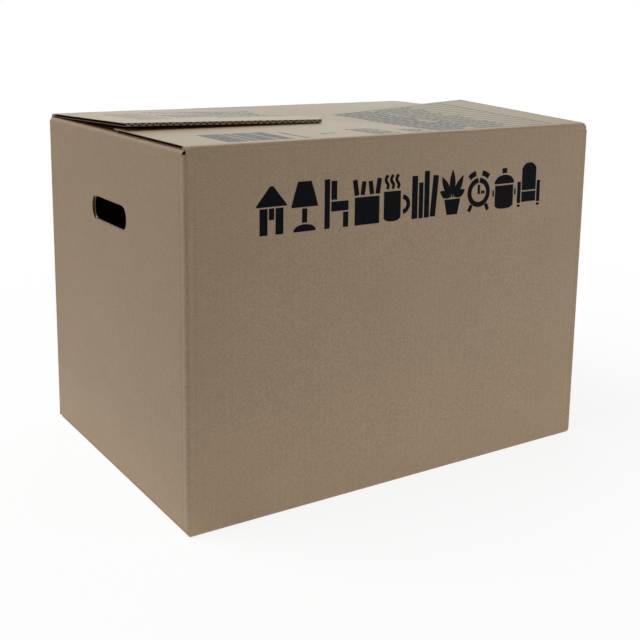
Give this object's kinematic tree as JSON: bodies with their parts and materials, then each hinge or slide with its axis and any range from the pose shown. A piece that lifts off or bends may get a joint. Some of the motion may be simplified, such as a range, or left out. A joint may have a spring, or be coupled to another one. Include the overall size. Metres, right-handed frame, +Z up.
{
  "type": "moving box",
  "caption": "Kraft corrugated-board moving box with hand holes in its short walls and long top flaps that interlock to close without tape.",
  "frame": {"origin": "middle of the underside, on the surface that the box stands on", "axes": "+Z up, +X along the long side to the right seen from the front, +Y to the back; the front wall is at -Y"},
  "size_m": [0.49, 0.35, 0.371],
  "materials": {
    "kraft_board": "matte uncoated kraft",
    "kraft_lid_board": "matte uncoated kraft"
  },
  "bodies": {
    "carton": {"carton_body": "kraft_board"},
    "front_lid_flap": {"front_flap": "kraft_lid_board"},
    "back_lid_flap": {"back_flap": "kraft_lid_board"}
  },
  "joints": [
    {"name": "front_flap_fold", "type": "hinge", "parent": "carton", "child": "front_lid_flap", "pos_m": [0, -0.175, 0.36], "axis": [1, 0, 0], "range_deg": [0, 255]},
    {"name": "back_flap_fold", "type": "hinge", "parent": "carton", "child": "back_lid_flap", "pos_m": [0, 0.175, 0.36], "axis": [-1, 0, 0], "range_deg": [0, 255]}
  ],
  "couplings": [
    {"joint": "back_flap_fold", "follows": "front_flap_fold", "ratio": 1}
  ]
}
